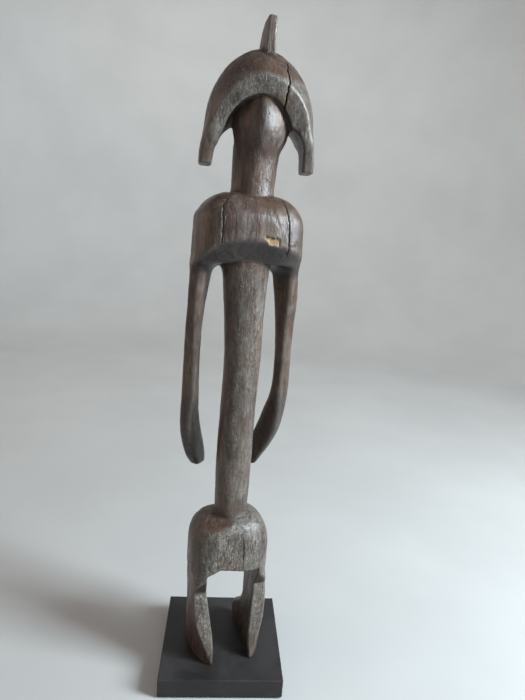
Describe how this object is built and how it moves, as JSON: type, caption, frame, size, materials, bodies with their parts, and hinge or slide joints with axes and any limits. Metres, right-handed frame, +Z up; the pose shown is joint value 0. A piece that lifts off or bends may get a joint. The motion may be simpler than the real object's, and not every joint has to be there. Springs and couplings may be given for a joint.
{
  "type": "carved ancestor figure on plinth",
  "caption": "Slender standing ancestor figure carved from one piece of hardwood, with a helmet-like headdress and long arms, screwed to a square black plinth.",
  "frame": {"origin": "middle of the felt's underside, on the surface that the plinth stands on", "axes": "+Z up along the figure's height, -Y out of the plinth's front edge, +X to the right of a person who looks at that front"},
  "size_m": [0.12, 0.12, 0.614],
  "materials": {
    "carved_hardwood": "hand-rubbed dark patina, worn to grey-brown on the fronts, with adze marks and drying checks",
    "black_painted_wood": "matt black paint, rubbed at the edges",
    "zinc_plated_steel": "bright zinc plate",
    "black_felt": "needled felt"
  },
  "bodies": {
    "root": {"carved_figure": "carved_hardwood", "plinth": "black_painted_wood", "left_leg_screw": "zinc_plated_steel", "right_leg_screw": "zinc_plated_steel", "felt_sheet": "black_felt"}
  },
  "joints": []
}
